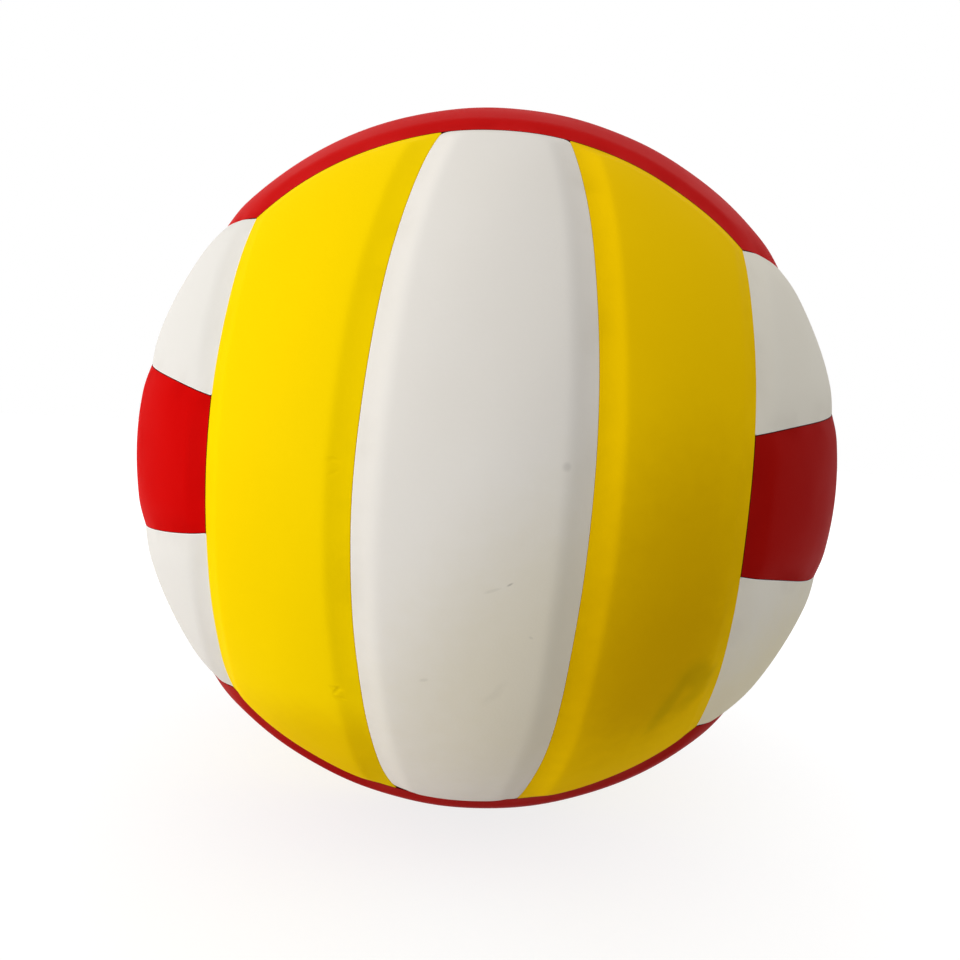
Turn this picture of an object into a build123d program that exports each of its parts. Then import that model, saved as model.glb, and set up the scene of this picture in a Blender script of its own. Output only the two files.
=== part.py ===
from build123d import *
from dataclasses import dataclass
from math import acos, atan, atan2, cos, degrees, radians, sin, sqrt, tan
import os

# A laminated volleyball. Eighteen foam-backed panels are bonded over a rubber carcass, a thread winding and a
# bladder, and a valve with a pull-out plug sits in the middle of the back. The origin is the ball's centre,
# +Z is up, the front faces -Y and the valve points along +Y.
#
# The panels lie in six groups of three parallel strips, like the faces of a cube. A group has axes of its
# own: x runs across its strips, y along them and z out of the ball. Every seam is a flat cut through the
# panels, so it draws a circle on the ball.

# Sizes in millimetres: the ball and its panels. A group is three strips wide, and its width and its middle
# strip's are taken straight across, halfway along the strips.
BALL_DIAMETER = 210.0
GROUP_WIDTH = 123.6
MIDDLE_STRIP_WIDTH = 50.0
MIDDLE_STRIP_END_WIDTH = 31.0
SEAM_GAP = 0.4
PANEL_CORNER_RADIUS = 4.0
SKIVE_WIDTH = 6.5

# How far from its group's middle a panel may reach, in degrees at the ball's centre
GROUP_SECTOR_ANGLE = 65.0

# The layers, from the outside in
COVER_THICKNESS = 0.8
FOAM_THICKNESS = 2.2
FOAM_EDGE_THICKNESS = 0.9
CARCASS_THICKNESS = 0.5
WINDING_THICKNESS = 0.5
BLADDER_THICKNESS = 0.5
BOND_LINE = 0.05

# The valve body
VALVE_NECK_DIAMETER = 8.0
VALVE_NECK_CLEARANCE = 0.2
VALVE_RECESS = 0.4
VALVE_RIM_RADIUS = 0.3
VALVE_FLANGE_DIAMETER = 34.0
VALVE_FLANGE_THICKNESS = 1.2
VALVE_SLEEVE_DIAMETER = 8.6
VALVE_SLEEVE_LENGTH = 6.0

# The valve plug
PLUG_DIAMETER = 4.6
PLUG_CLEARANCE = 0.05
PLUG_HEAD_DIAMETER = 6.2
PLUG_HEAD_THICKNESS = 1.6
PLUG_HEAD_RADIUS = 0.3
PLUG_TIP_LENGTH = 4.0
PLUG_TIP_DIAMETER = 3.2
NEEDLE_INLET_DIAMETER = 2.2
NEEDLE_INLET_DEPTH = 6.0
NEEDLE_FUNNEL_DEPTH = 0.5
SLIT_WIDTH = 2.0
SLIT_GAP = 0.1

# Radii of the layers
ball_radius = BALL_DIAMETER / 2
cover_underside = ball_radius - COVER_THICKNESS
foam_crown = cover_underside - BOND_LINE
foam_floor = foam_crown - FOAM_THICKNESS
carcass_outer = foam_floor - BOND_LINE
carcass_inner = carcass_outer - CARCASS_THICKNESS
winding_outer = carcass_inner - BOND_LINE
winding_inner = winding_outer - WINDING_THICKNESS
bladder_outer = winding_inner - BOND_LINE
bladder_inner = bladder_outer - BLADDER_THICKNESS
flange_outer = bladder_inner - BOND_LINE
flange_inner = flange_outer - VALVE_FLANGE_THICKNESS

# Radii on the valve's axis
stem_radius = PLUG_DIAMETER / 2
head_radius = PLUG_HEAD_DIAMETER / 2
tip_radius = PLUG_TIP_DIAMETER / 2
inlet_radius = NEEDLE_INLET_DIAMETER / 2
bore_radius = stem_radius + PLUG_CLEARANCE
seat_radius = head_radius + PLUG_CLEARANCE
neck_radius = VALVE_NECK_DIAMETER / 2
sleeve_radius = VALVE_SLEEVE_DIAMETER / 2
flange_radius = VALVE_FLANGE_DIAMETER / 2
valve_hole_radius = neck_radius + VALVE_NECK_CLEARANCE

# Levels along the valve's axis
neck_top = ball_radius - VALVE_RECESS
seat_level = neck_top - PLUG_HEAD_THICKNESS
inlet_end = neck_top - NEEDLE_INLET_DEPTH
sleeve_end = flange_inner - VALVE_SLEEVE_LENGTH
tip_end = sleeve_end - PLUG_TIP_LENGTH

skive_drop = FOAM_THICKNESS - FOAM_EDGE_THICKNESS
skive_angle = SKIVE_WIDTH / ball_radius
cut_reach = BALL_DIAMETER
corner_reach = PANEL_CORNER_RADIUS + SKIVE_WIDTH
sector_height = tan(radians(GROUP_SECTOR_ANGLE))
CENTRE = (0, 0, 0)
POLES_ACROSS = (0, 90, 0)
SECTOR_SIDES = ((1, 0), (-1, 0), (0, 1), (0, -1))
BEYOND_SEAM = (Align.MIN, Align.CENTER, Align.MIN)


def polar(radius: float, angle: float) -> Vector:
    """Point of a turned profile, with x out from the turning axis and y along it."""
    return Vector(radius * sin(angle), radius * cos(angle))


@dataclass
class SeamPlane:
    """Plane of a seam: across = offset + slope * height, in a group's axes."""

    offset: float
    slope: float

    @property
    def tilt(self) -> float:
        """Angle between the plane's normal and the group's x axis."""
        return atan(self.slope)

    @property
    def distance(self) -> float:
        """Distance from the ball's centre to the plane."""
        return self.offset * cos(self.tilt)


def plane_through(across: float, end_across: float, end_height: float) -> SeamPlane:
    """Seam plane through a point on the ball halfway along a strip, and a point at the strip's end."""
    height = sqrt(ball_radius**2 - across**2)
    slope = (across - end_across) / (height - end_height)
    return SeamPlane(across - slope * height, slope)


@dataclass
class Seam:
    """One edge of a panel: its circle's axis, the direction from there to the edge, and the panel's side."""

    axis: Vector
    toward: Vector
    distance: float
    side: int

    @property
    def half_angle(self) -> float:
        """Angle from the axis to the circle, seen from the ball's centre."""
        return acos(self.distance / ball_radius)

    def inward(self, point: Vector) -> Vector:
        """Direction along the ball's surface, square to the seam and into the panel."""
        radial = point.normalized()
        return (self.axis - radial * self.axis.dot(radial)).normalized() * self.side

    def trim(self, gap: float) -> None:
        """Cut the panel being built off flat, half a gap from the seam."""
        level = self.distance + self.side * gap / 2
        with Locations(Plane(self.axis * level, x_dir=self.toward, z_dir=self.axis * -self.side)):
            Box(cut_reach, 2 * cut_reach, cut_reach, align=BEYOND_SEAM, mode=Mode.SUBTRACT)

    def skive(self, crown: float) -> None:
        """Pare the panel's border down from the crown to the foam's edge at the seam."""
        low = polar(crown - skive_drop, self.half_angle)
        rise = polar(crown, self.half_angle - self.side * skive_angle) - low
        start = low - rise
        stop = low + rise + rise
        over_stop = polar(cut_reach, atan2(stop.X, stop.Y))
        over_start = polar(cut_reach, atan2(start.X, start.Y))
        start_dir = self.toward.cross(self.axis)
        with BuildSketch(Plane(CENTRE, x_dir=start_dir, z_dir=start_dir.cross(self.axis))) as profile:
            with BuildLine():
                Polyline(start, stop, over_stop, over_start, close=True)
            make_face()
        revolve(profile.sketch, axis=Axis(CENTRE, self.axis), revolution_arc=180, mode=Mode.SUBTRACT)


@dataclass
class Outline:
    """The four seams around a panel: two along its strip and two across its ends."""

    along: list
    ends: list

    @property
    def seams(self) -> list:
        """All four seams."""
        return self.along + self.ends


def crossing(along: Seam, across: Seam) -> Vector:
    """Point where a seam along a strip crosses the seam across one end of it."""
    overlap = along.axis.dot(across.axis)
    spread = 1 - overlap**2
    on_along = (along.distance - across.distance * overlap) / spread
    on_across = (across.distance - along.distance * overlap) / spread
    foot = along.axis * on_along + across.axis * on_across
    square = along.axis.cross(across.axis).normalized() * sqrt(ball_radius**2 - foot.dot(foot))
    return max(foot + square, foot - square, key=across.toward.dot)


def round_corner(along: Seam, across: Seam) -> None:
    """Cut a corner of the panel being built to three flats that touch the arc of the corner's radius."""
    point = crossing(along, across)
    bisector = (along.inward(point) + across.inward(point)).normalized()
    half_turn = acos(bisector.dot(along.inward(point)))
    flat_turn = half_turn / 2
    arc_centre = (PANEL_CORNER_RADIUS + SEAM_GAP / 2) / cos(half_turn)
    nose = arc_centre - PANEL_CORNER_RADIUS
    bend = PANEL_CORNER_RADIUS * tan(flat_turn / 2)
    flat_end_x = arc_centre - PANEL_CORNER_RADIUS * cos(flat_turn) + corner_reach * sin(flat_turn)
    flat_end_y = PANEL_CORNER_RADIUS * sin(flat_turn) + corner_reach * cos(flat_turn)
    with BuildSketch(Plane(point, x_dir=bisector, z_dir=point)) as profile:
        with BuildLine():
            Polyline((-corner_reach, flat_end_y), (flat_end_x, flat_end_y), (nose, bend))
            Line((nose, bend), (nose, -bend))
            Polyline((nose, -bend), (flat_end_x, -flat_end_y), (-corner_reach, -flat_end_y))
            Line((-corner_reach, -flat_end_y), (-corner_reach, flat_end_y))
        make_face()
    extrude(profile.sketch, amount=corner_reach, both=True, mode=Mode.SUBTRACT)


# A group's long edges run through the corners of the cube that the groups stand for
cube_corner = ball_radius / sqrt(3)
long_edge = plane_through(GROUP_WIDTH / 2, cube_corner, cube_corner)

# The middle strip's edges taper to its ends, which lie on the next group's long edge
end_across = MIDDLE_STRIP_END_WIDTH / 2
end_radius = sqrt(ball_radius**2 - end_across**2)
end_angle = acos(long_edge.distance / end_radius) - long_edge.tilt
inner_edge = plane_through(MIDDLE_STRIP_WIDTH / 2, end_across, end_radius * cos(end_angle))


def seam_along(plane: SeamPlane, edge: int, side: int) -> Seam:
    """Seam along a strip, on the +x or -x edge, with the panel on one side of it."""
    axis = Vector(edge * cos(plane.tilt), 0, -sin(plane.tilt))
    toward = Vector(edge * sin(plane.tilt), 0, cos(plane.tilt))
    return Seam(axis, toward, plane.distance, side)


def seam_across(edge: int) -> Seam:
    """Seam across the +y or -y ends of a group's strips, which is the next group's long edge."""
    axis = Vector(0, -edge * sin(long_edge.tilt), cos(long_edge.tilt))
    toward = Vector(0, edge * cos(long_edge.tilt), sin(long_edge.tilt))
    return Seam(axis, toward, long_edge.distance, 1)


ends = [seam_across(1), seam_across(-1)]
middle_outline = Outline([seam_along(inner_edge, 1, -1), seam_along(inner_edge, -1, -1)], ends)
side_outline = Outline([seam_along(inner_edge, 1, 1), seam_along(long_edge, 1, -1)], ends)


def trimmed_shell(outline: Outline, crown: float, floor: float, gap: float) -> None:
    """Add the piece of a hollow ball that lies in its group's sector and within a panel's seams."""
    Sphere(crown, rotation=POLES_ACROSS)
    Sphere(floor, rotation=POLES_ACROSS, mode=Mode.SUBTRACT)
    for across, along in SECTOR_SIDES:
        split(bisect_by=Plane(CENTRE, z_dir=(across, along, sector_height)), keep=Keep.TOP)
    for seam in outline.seams:
        seam.trim(gap)


def panel_block(outline: Outline, crown: float) -> None:
    """Add a panel with rounded corners and skived borders, from the foam's floor to the crown."""
    trimmed_shell(outline, crown, foam_floor, SEAM_GAP)
    for along in outline.along:
        for across in outline.ends:
            round_corner(along, across)
    for seam in outline.seams:
        seam.skive(crown)


def make_cover(outline: Outline) -> Part:
    """Cover skin of one strip, in its group's axes."""
    with BuildPart() as hollow:
        trimmed_shell(outline, cover_underside, bladder_inner, -SEAM_GAP)
        for seam in outline.seams:
            seam.skive(cover_underside)
    with BuildPart() as skin:
        panel_block(outline, ball_radius)
        add(hollow.part, mode=Mode.SUBTRACT)
    return skin.part


def make_foam(outline: Outline) -> Part:
    """Foam backing of one strip, in its group's axes."""
    with BuildPart() as backing:
        panel_block(outline, foam_crown)
    return backing.part


def write(part: Part, name: str) -> None:
    """Label a finished piece and write its file."""
    part.label = name
    export_step(part, f"parts/{name}.step")


# Groups with their axes, and the names of the strips on their +x and -x sides
groups = {
    "front": (Plane(CENTRE, x_dir=(1, 0, 0), z_dir=(0, -1, 0)), "right", "left"),
    "back": (Plane(CENTRE, x_dir=(-1, 0, 0), z_dir=(0, 1, 0)), "left", "right"),
    "right": (Plane(CENTRE, x_dir=(0, 0, -1), z_dir=(1, 0, 0)), "lower", "upper"),
    "left": (Plane(CENTRE, x_dir=(0, 0, 1), z_dir=(-1, 0, 0)), "upper", "lower"),
    "top": (Plane(CENTRE, x_dir=(0, -1, 0), z_dir=(0, 0, 1)), "front", "back"),
    "bottom": (Plane(CENTRE, x_dir=(0, 1, 0), z_dir=(0, 0, -1)), "back", "front"),
}
VALVE_GROUP = "back"
HALF_TURN = Location(CENTRE, (0, 0, 180))

os.makedirs("parts", exist_ok=True)

# Covers and foam backings
layers = {"cover": make_cover, "foam": make_foam}
for layer, make in layers.items():
    middle = make(middle_outline)
    side = make(side_outline)
    for group, (plane, plus_name, minus_name) in groups.items():
        places = {plus_name: plane.location, minus_name: plane.location * HALF_TURN}
        for strip, place in places.items():
            with BuildPart() as side_panel:
                with Locations(place):
                    add(side)
            write(side_panel.part, f"{layer}_{group}_{strip}")
        with BuildPart() as middle_panel:
            with Locations(plane.location):
                add(middle)
            if group == VALVE_GROUP:
                with Locations(plane.offset(ball_radius)):
                    Hole(valve_hole_radius, depth=ball_radius)
        write(middle_panel.part, f"{layer}_{group}_middle")

# Carcass, winding and bladder: three closed shells, pierced only by the valve's neck
shells = {
    "carcass": (carcass_outer, carcass_inner),
    "winding": (winding_outer, winding_inner),
    "bladder": (bladder_outer, bladder_inner),
}
valve_plane = groups[VALVE_GROUP][0]
for name, (outer, inner) in shells.items():
    with BuildPart() as shell:
        Sphere(outer)
        Sphere(inner, mode=Mode.SUBTRACT)
        with Locations(valve_plane.offset(outer)):
            Hole(valve_hole_radius, depth=outer)
    write(shell.part, name)


def on_sphere(radius: float, across: float) -> tuple:
    """Point of the valve's section on a sphere about the ball's centre."""
    return (across, sqrt(radius**2 - across**2))


def bearing(point: tuple) -> float:
    """Angle in degrees of a point of the valve's section, seen from the ball's centre."""
    return degrees(atan2(point[1], point[0]))


# Valve body: a neck up to the cover, a flange bonded inside the bladder, and a sleeve around the plug
sleeve_root = on_sphere(flange_inner, sleeve_radius)
flange_low = on_sphere(flange_inner, flange_radius)
flange_high = on_sphere(flange_outer, flange_radius)
neck_root = on_sphere(flange_outer, neck_radius)
with BuildPart() as valve_body:
    with BuildSketch(Plane.XY):
        with BuildLine():
            Polyline((bore_radius, seat_level), (bore_radius, sleeve_end), (sleeve_radius, sleeve_end))
            Line((sleeve_radius, sleeve_end), sleeve_root)
            CenterArc((0, 0), flange_inner, bearing(sleeve_root), bearing(flange_low) - bearing(sleeve_root))
            Line(flange_low, flange_high)
            CenterArc((0, 0), flange_outer, bearing(flange_high), bearing(neck_root) - bearing(flange_high))
            Polyline(neck_root, (neck_radius, neck_top), (seat_radius, neck_top))
            Polyline((seat_radius, neck_top), (seat_radius, seat_level), (bore_radius, seat_level))
        make_face()
    revolve(axis=Axis.Y)
    rim = valve_body.edges().group_by(Axis.Y)[-1].sort_by(SortBy.RADIUS)[-1]
    fillet(rim, VALVE_RIM_RADIUS)
write(valve_body.part, "valve_body")

# Valve plug: a head seated in the neck, a stem through the sleeve, and a tip closed by a slit
with BuildPart() as valve_plug:
    with BuildSketch(Plane.XY):
        with BuildLine():
            Polyline(
                (0, tip_end),
                (tip_radius, tip_end),
                (stem_radius, sleeve_end),
                (stem_radius, seat_level),
                (head_radius, seat_level),
                (head_radius, neck_top),
                (inlet_radius, neck_top),
                (inlet_radius, inlet_end),
                (0, inlet_end),
                close=True,
            )
        make_face()
    revolve(axis=Axis.Y)
    mouth = valve_plug.edges().group_by(Axis.Y)[-1].sort_by(SortBy.RADIUS)
    fillet(mouth[-1], PLUG_HEAD_RADIUS)
    chamfer(mouth[0], NEEDLE_FUNNEL_DEPTH)
    with BuildSketch(Plane.XZ.offset(-inlet_end)):
        Rectangle(SLIT_WIDTH, SLIT_GAP)
    extrude(amount=inlet_end - tip_end, mode=Mode.SUBTRACT)
write(valve_plug.part, "valve_plug")
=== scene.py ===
"""A laminated volleyball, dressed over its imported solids.

Leather covers and foam pads are modelled strip by strip. The rubber layers and the valve keep their solids.
A small studio shows the ball on a pale floor.
"""

import logging
import math
from dataclasses import dataclass, replace
from enum import Enum

import bmesh
import bpy
import numpy as np
from mathutils import Color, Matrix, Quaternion, Vector


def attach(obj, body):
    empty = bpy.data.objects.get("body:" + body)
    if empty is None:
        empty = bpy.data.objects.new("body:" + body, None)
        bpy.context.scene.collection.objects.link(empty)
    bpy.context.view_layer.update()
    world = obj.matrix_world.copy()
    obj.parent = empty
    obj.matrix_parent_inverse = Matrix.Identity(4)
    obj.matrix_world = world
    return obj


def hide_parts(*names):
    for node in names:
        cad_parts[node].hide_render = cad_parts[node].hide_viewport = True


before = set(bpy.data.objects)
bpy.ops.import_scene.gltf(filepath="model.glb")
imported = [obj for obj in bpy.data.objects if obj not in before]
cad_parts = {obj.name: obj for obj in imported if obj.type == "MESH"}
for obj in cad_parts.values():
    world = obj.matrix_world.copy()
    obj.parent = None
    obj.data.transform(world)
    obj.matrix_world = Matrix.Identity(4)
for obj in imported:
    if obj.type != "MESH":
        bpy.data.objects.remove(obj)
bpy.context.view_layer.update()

Colour = tuple[float, float, float]
Direction = tuple[float, float, float]
Pair = tuple[float, float]
Array = np.ndarray
Socket = bpy.types.NodeSocket
Material = bpy.types.Material

log = logging.getLogger("volleyball")
BALL_BODY = "ball"
BORDER = "border"
SCREEN_STEPS = 255
PURE_WHITE = (1.0, 1.0, 1.0)
MIX_FIRST, MIX_SECOND, MIX_RESULT = 6, 7, 2
QUARTER_TURN = 90.0
TINY = 1e-9
HOLE_TOLERANCE = 1e-7
RING_TOLERANCE = 1e-4
LONG_SEAMS = (0, 1)
END_SEAMS = (2, 3)
SHALLOW_SHARE = 0.42


def screen_colour(red: int, green: int, blue: int) -> Colour:
    """Linear values, as shaders use them, of a colour that a screen shows in steps from 0 to 255."""
    shown = Color((red / SCREEN_STEPS, green / SCREEN_STEPS, blue / SCREEN_STEPS))
    return tuple(shown.from_srgb_to_scene_linear())


def on_ball(azimuth: float, elevation: float) -> Array:
    """Unit vector to a place, by its degrees from the front to the right and above the middle."""
    turn, rise = math.radians(azimuth), math.radians(elevation)
    return np.array((math.sin(turn) * math.cos(rise), -math.cos(turn) * math.cos(rise), math.sin(rise)))


def heading_on_ball(azimuth: float, elevation: float, heading: float) -> Array:
    """Direction along the ball's surface at a place.

    Args:
        azimuth: Degrees from the front towards the right.
        elevation: Degrees above the ball's middle.
        heading: Degrees from level, turning upwards.

    Returns:
        A unit vector square to the place's own direction.
    """
    course = math.radians(heading)
    level, upward = on_ball(azimuth + QUARTER_TURN, 0.0), on_ball(azimuth, elevation + QUARTER_TURN)
    return level * math.cos(course) + upward * math.sin(course)


def ease(value: Array) -> Array:
    """Smooth step from 0 to 1 of values that are cut to that range."""
    cut = np.clip(value, 0.0, 1.0)
    return cut * cut * (3 - 2 * cut)


def add_object(name: str, data: bpy.types.ID) -> bpy.types.Object:
    """Put a new object into the scene.

    Args:
        name: The object's name.
        data: Its mesh, camera or lamp.

    Returns:
        The object.
    """
    made = bpy.data.objects.new(name, data)
    bpy.context.scene.collection.objects.link(made)
    return made


class Leather(Enum):
    """The three colours of cover leather, by their slots in the record."""

    YELLOW = "cover_yellow"
    WHITE = "cover_white"
    RED = "cover_red"


class Layer(Enum):
    """The two layers of a strip, by the first word of their nodes."""

    COVER = "cover"
    FOAM = "foam"


@dataclass(frozen=True)
class GroupFacts:
    """Axes, strip names and colours of one group of three strips, and how deep its seams are."""

    across: Direction
    outward: Direction
    plus_name: str
    minus_name: str
    side_leather: Leather
    middle_leather: Leather
    along_depth_share: float = 1.0
    end_depth_share: float = 1.0


class Group(Enum):
    """The six groups of strips, which sit like the faces of a cube."""

    FRONT = GroupFacts((1, 0, 0), (0, -1, 0), "right", "left", Leather.YELLOW, Leather.WHITE)
    BACK = GroupFacts((-1, 0, 0), (0, 1, 0), "left", "right", Leather.YELLOW, Leather.WHITE)
    RIGHT = GroupFacts((0, 0, -1), (1, 0, 0), "lower", "upper", Leather.WHITE, Leather.RED, SHALLOW_SHARE)
    LEFT = GroupFacts((0, 0, 1), (-1, 0, 0), "upper", "lower", Leather.WHITE, Leather.RED, SHALLOW_SHARE)
    TOP = GroupFacts(
        (0, -1, 0), (0, 0, 1), "front", "back", Leather.RED, Leather.YELLOW, end_depth_share=SHALLOW_SHARE
    )
    BOTTOM = GroupFacts(
        (0, 1, 0), (0, 0, -1), "back", "front", Leather.RED, Leather.YELLOW, end_depth_share=SHALLOW_SHARE
    )

    def axes(self, half_turn: bool) -> Array:
        """Rows that carry a point from the group's axes to the ball's.

        Args:
            half_turn: Whether the strip lies on the group's other side.

        Returns:
            A matrix whose rows are the across, along and outward axes.
        """
        across, outward = np.array(self.value.across, float), np.array(self.value.outward, float)
        along = np.cross(outward, across)
        sign = -1 if half_turn else 1
        return np.stack((across * sign, along * sign, outward))


@dataclass(frozen=True)
class BallSizes:
    """Sizes of the ball and its layers, in metres, with strips as wide as on the photographed ball."""

    radius: float = 0.105
    group_width: float = 0.1214
    middle_width: float = 0.0482
    middle_end_width: float = 0.0315
    skive_width: float = 0.0055
    skive_drop: float = 0.0013
    cover_thickness: float = 0.0008
    bond_line: float = 0.00005
    foam_floor: float = 0.10195
    valve_hole_radius: float = 0.0042


@dataclass(frozen=True)
class SeamPlane:
    """Plane of a seam on a ball of radius 1: across = offset + slope * height, in a group's axes."""

    offset: float
    slope: float

    @classmethod
    def through(cls, across: float, end_across: float, end_height: float) -> "SeamPlane":
        """Plane through a point halfway along a strip and a point at its end.

        Args:
            across: How far the seam is from the group's middle, halfway along.
            end_across: The same at the strip's end.
            end_height: The height of that end.

        Returns:
            The seam's plane.
        """
        height = math.sqrt(1 - across**2)
        slope = (across - end_across) / (height - end_height)
        return cls(across - slope * height, slope)

    @property
    def tilt(self) -> float:
        """Angle between the plane's normal and the group's across axis."""
        return math.atan(self.slope)

    @property
    def level(self) -> float:
        """Distance from the ball's centre to the plane."""
        return self.offset * math.cos(self.tilt)


@dataclass(frozen=True)
class Seam:
    """One edge of a strip: a circle about an axis, with the strip on one side of it."""

    axis: Direction
    level: float
    side: int

    def distance(self, points: Array) -> Array:
        """Angle from the seam into the strip, for points on a ball of radius 1."""
        reach = np.arccos(np.clip(points @ np.array(self.axis), -1.0, 1.0))
        return self.side * (math.acos(self.level) - reach)

    def inward(self, points: Array) -> Array:
        """Directions along the surface, square to the seam and into the strip."""
        flat = np.array(self.axis) - points * (points @ np.array(self.axis))[:, None]
        return self.side * flat / np.linalg.norm(flat, axis=1, keepdims=True)


@dataclass(frozen=True)
class Unevenness:
    """Small faults of laying by hand: seams that wander and a skin that isn't quite round."""

    seam_wander: float = 0.00022
    swell: float = 0.00007
    waves: tuple[Direction, ...] = ((17.0, -9.0, 6.0), (-7.0, 15.0, 11.0), (9.0, 8.0, -16.0))
    starts: Direction = (0.4, 2.1, 4.4)

    def wander(self, points: Array) -> Array:
        """Sideways shift in metres at points on a ball of radius 1, the same for both sides of a seam."""
        return self.seam_wander * np.sin(points @ np.array(self.waves).T + np.array(self.starts))

    def swelling(self, points: Array) -> Array:
        """Rise of the skin in metres at points on a ball of radius 1."""
        rise, dip = np.array(self.waves[0]), np.array(self.waves[2])
        return self.swell * np.sin(points @ rise) * np.cos(points @ dip)


@dataclass
class StripOutline:
    """Outline of a strip in its group's axes: x across, y along and z out of a ball of radius 1."""

    sizes: BallSizes
    facts: GroupFacts
    middle: bool
    corner_radii: tuple[float, ...]
    seam_gap: float = 0.00002
    gap_pull: float = 0.010
    ridge_blend: float = 0.003

    def __post_init__(self) -> None:
        """Work out the seams around the strip."""
        unit = 1 / self.sizes.radius
        corner = 1 / math.sqrt(3)
        self.long_edge = SeamPlane.through(self.sizes.group_width / 2 * unit, corner, corner)
        end_across = self.sizes.middle_end_width / 2 * unit
        end_radius = math.sqrt(1 - end_across**2)
        corner_angle = math.acos(self.long_edge.level / end_radius) - self.long_edge.tilt
        half_middle = self.sizes.middle_width / 2 * unit
        self.inner_edge = SeamPlane.through(half_middle, end_across, end_radius * math.cos(corner_angle))
        self.end_angle = math.acos(self.long_edge.level) - self.long_edge.tilt
        if self.middle:
            along = [self.seam_along(self.inner_edge, -1, -1), self.seam_along(self.inner_edge, 1, -1)]
        else:
            along = [self.seam_along(self.inner_edge, 1, 1), self.seam_along(self.long_edge, 1, -1)]
        self.seams = along + [self.seam_across(-1), self.seam_across(1)]

    @staticmethod
    def seam_along(plane: SeamPlane, edge: int, side: int) -> Seam:
        """Seam along a strip, on its group's plus or minus side."""
        return Seam((edge * math.cos(plane.tilt), 0.0, -math.sin(plane.tilt)), plane.level, side)

    def seam_across(self, edge: int) -> Seam:
        """Seam across one end of a strip, which is the next group's long edge."""
        tilt = self.long_edge.tilt
        return Seam((0.0, -edge * math.sin(tilt), math.cos(tilt)), self.long_edge.level, 1)

    def spread(self, across: Array, along: Array) -> Array:
        """Points on the ball between the strip's seams.

        Args:
            across: Shares from -1 at one long seam to 1 at the other.
            along: Shares from -1 at one end to 1 at the other.

        Returns:
            Unit vectors in the group's axes.
        """
        inner, outer = self.inner_edge, self.long_edge
        if self.middle:
            offset, slope = across * inner.offset, across * inner.slope
        else:
            share = (across + 1) / 2
            offset = inner.offset + share * (outer.offset - inner.offset)
            slope = inner.slope + share * (outer.slope - inner.slope)
        lean = along * self.end_angle
        pace = np.sin(lean) / (np.cos(lean) - outer.offset)
        square = slope**2 + pace**2 + 1
        half = offset * slope - pace**2 * outer.offset
        rest = offset**2 + (pace * outer.offset) ** 2 - 1
        height = (-half + np.sqrt(half**2 - square * rest)) / square
        return np.stack((offset + slope * height, pace * (height - outer.offset), height), axis=1)

    def round_corner(self, reach: list, inward: list, first: int, second: int, radius: float) -> Array:
        """Shift that turns a square corner of the strip into an arc.

        Args:
            reach: Distances of the points from each seam, in metres.
            inward: Directions into the strip from each seam.
            first: The seam along the strip at this corner.
            second: The seam across its end.
            radius: The arc's radius in metres.

        Returns:
            Shifts in metres.
        """
        lean = np.sum(inward[first] * inward[second], axis=1)
        short_first, short_second = reach[first] - radius, reach[second] - radius
        part_first = (short_first - lean * short_second) / (1 - lean**2)
        part_second = (short_second - lean * short_first) / (1 - lean**2)
        from_centre = inward[first] * part_first[:, None] + inward[second] * part_second[:, None]
        length = np.maximum(np.linalg.norm(from_centre, axis=1), TINY)
        wanted = radius - np.minimum(reach[first], reach[second])
        inside = (part_first < 0) & (part_second < 0)
        return from_centre * np.where(inside, wanted / length - 1, 0.0)[:, None]

    def settle(self, points: Array) -> tuple[Array, Array, Array]:
        """Round the strip's corners and open its seams.

        Args:
            points: Unit vectors in the group's axes, out to the seams themselves.

        Returns:
            The moved unit vectors, each one's distance from the nearest seam in metres, and that distance
            with shallow seams eased and the ridges between two borders blended.
        """
        radius = self.sizes.radius
        reach = [seam.distance(points) * radius for seam in self.seams]
        inward = [seam.inward(points) for seam in self.seams]
        shift = np.zeros_like(points)
        corners = [(first, second) for first in LONG_SEAMS for second in END_SEAMS]
        for (first, second), corner_radius in zip(corners, self.corner_radii):
            at_end = (points[:, 1] >= 0) == (second == END_SEAMS[1])
            turned = self.round_corner(reach, inward, first, second, corner_radius)
            shift += np.where(at_end[:, None], turned, 0.0)
        for distance, direction in zip(reach, inward):
            pull = np.clip(1 - distance / self.gap_pull, 0.0, 1.0) * self.seam_gap / 2
            shift += direction * pull[:, None]
        moved = points + shift / radius
        moved /= np.linalg.norm(moved, axis=1, keepdims=True)
        facts = self.facts
        shares = (facts.along_depth_share,) * len(LONG_SEAMS) + (facts.end_depth_share,) * len(END_SEAMS)
        eased = [distance * s + (1 - s) * self.sizes.skive_width for distance, s in zip(reach, shares)]
        blended = eased[0]
        for distance in eased[1:]:
            share = np.clip(0.5 + (distance - blended) / (2 * self.ridge_blend), 0.0, 1.0)
            blended = distance + (blended - distance) * share - self.ridge_blend * share * (1 - share)
        return moved, np.minimum.reduce(reach), blended


@dataclass(frozen=True)
class SkinProfile:
    """How a strip's surface falls from its crown to its seams."""

    sizes: BallSizes
    crease_softness: float
    hollow: float = 0.4
    edge_roll: float = 0.00012

    def fall(self, blended: Array) -> Array:
        """Depth of the skived border, which is steeper near its crease.

        Args:
            blended: Distances from the seam in metres.

        Returns:
            Depths in metres.
        """
        soft = self.crease_softness
        past = self.sizes.skive_width - blended
        bend = np.where(past < -soft, 0.0, np.where(past > soft, past, (past + soft) ** 2 / (4 * soft)))
        share = np.minimum(bend / self.sizes.skive_width, 1.0)
        return self.sizes.skive_drop * share * (1 + self.hollow - self.hollow * share)

    def roll(self, border: Array) -> Array:
        """Depth of the rounded cut edge at distances from the edge, in metres."""
        past = np.clip(self.edge_roll - border, 0.0, self.edge_roll)
        return self.edge_roll - np.sqrt(np.maximum(self.edge_roll**2 - past**2, 0.0))


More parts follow.
